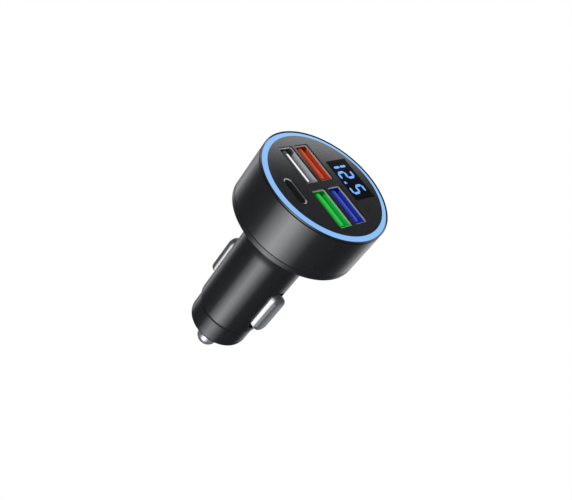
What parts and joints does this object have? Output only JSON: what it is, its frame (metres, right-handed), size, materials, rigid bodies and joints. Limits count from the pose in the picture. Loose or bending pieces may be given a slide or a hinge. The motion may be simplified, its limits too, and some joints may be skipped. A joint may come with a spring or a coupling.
{
  "type": "car usb charger plug",
  "caption": "Round-headed charger plug for a car's accessory socket, with coloured USB sockets, a voltage display and a lit blue ring on its face, a sprung centre pin and sprung side contacts.",
  "frame": {"origin": "centre of the head's underside, where it rests on the socket's rim", "axes": "+Z along the plug from the nose to the face, +X the way the display reads, +Y towards the top of the display"},
  "size_m": [0.04, 0.04, 0.0759],
  "materials": {
    "shell_plastic": "satin black moulding",
    "face_plastic": "smooth black moulding",
    "ring_acrylic": "clear acrylic, lit blue from inside",
    "window_film": "smoked window",
    "digit_light": "lit blue bars",
    "module_plastic": "black moulding",
    "board_laminate": "green circuit board",
    "led_body": "white lamp body",
    "tinned_steel": "bright sheet steel",
    "insert_orange": "orange moulding",
    "insert_white": "white moulding",
    "insert_green": "green moulding",
    "insert_blue": "blue moulding",
    "insert_black": "black moulding",
    "plated_contact": "gold-plated brass",
    "chip_resin": "black resin",
    "capacitor_can": "aluminium can",
    "fuse_body": "cream moulding",
    "nickel": "bright nickel plate",
    "spring_steel": "spring steel"
  },
  "bodies": {
    "housing": {"front_shell": "shell_plastic", "rear_shell": "shell_plastic", "nose_cap": "shell_plastic", "face_panel": "face_plastic", "light_ring": "ring_acrylic", "display_window": "window_film", "display_digits": "digit_light", "display_module": "module_plastic", "board_header": "module_plastic", "port_board": "board_laminate", "main_board": "board_laminate", "ring_leds": "led_body", "display_pins": "tinned_steel", "board_screws": "tinned_steel", "port_shell_orange": "tinned_steel", "port_shell_white": "tinned_steel", "port_shell_green": "tinned_steel", "port_shell_blue": "tinned_steel", "oval_shell": "tinned_steel", "port_insert_orange": "insert_orange", "port_insert_white": "insert_white", "port_insert_green": "insert_green", "port_insert_blue": "insert_blue", "oval_insert": "insert_black", "port_contacts_orange": "plated_contact", "port_contacts_white": "plated_contact", "port_contacts_green": "plated_contact", "port_contacts_blue": "plated_contact", "oval_contacts": "plated_contact", "positive_contact": "plated_contact", "ground_strap_right": "plated_contact", "ground_strap_left": "plated_contact", "controller_chip": "chip_resin", "power_switch": "chip_resin", "charge_chip_left": "chip_resin", "charge_chip_right": "chip_resin", "power_inductor": "chip_resin", "input_capacitor": "capacitor_can", "output_capacitor": "capacitor_can", "input_fuse": "fuse_body", "pin_spring": "spring_steel", "side_spring_right": "spring_steel", "side_spring_left": "spring_steel"},
    "centre_pin": {"centre_pin": "nickel"},
    "side_contact_right": {"side_contact_right": "nickel"},
    "side_contact_left": {"side_contact_left": "nickel"}
  },
  "joints": [
    {"name": "centre_pin_slide", "type": "slide", "parent": "housing", "child": "centre_pin", "axis": [0, 0, 1], "range_m": [0, 0.004], "stiffness_N_per_m": 300, "springref_m": -0.004, "deforming": ["pin_spring"]},
    {"name": "side_contact_right_slide", "type": "slide", "parent": "housing", "child": "side_contact_right", "axis": [-1, 0, 0], "range_m": [0, 0.0025], "stiffness_N_per_m": 300, "springref_m": -0.003, "deforming": ["side_spring_right"]},
    {"name": "side_contact_left_slide", "type": "slide", "parent": "housing", "child": "side_contact_left", "axis": [1, 0, 0], "range_m": [0, 0.0025], "stiffness_N_per_m": 300, "springref_m": -0.003, "deforming": ["side_spring_left"]}
  ]
}
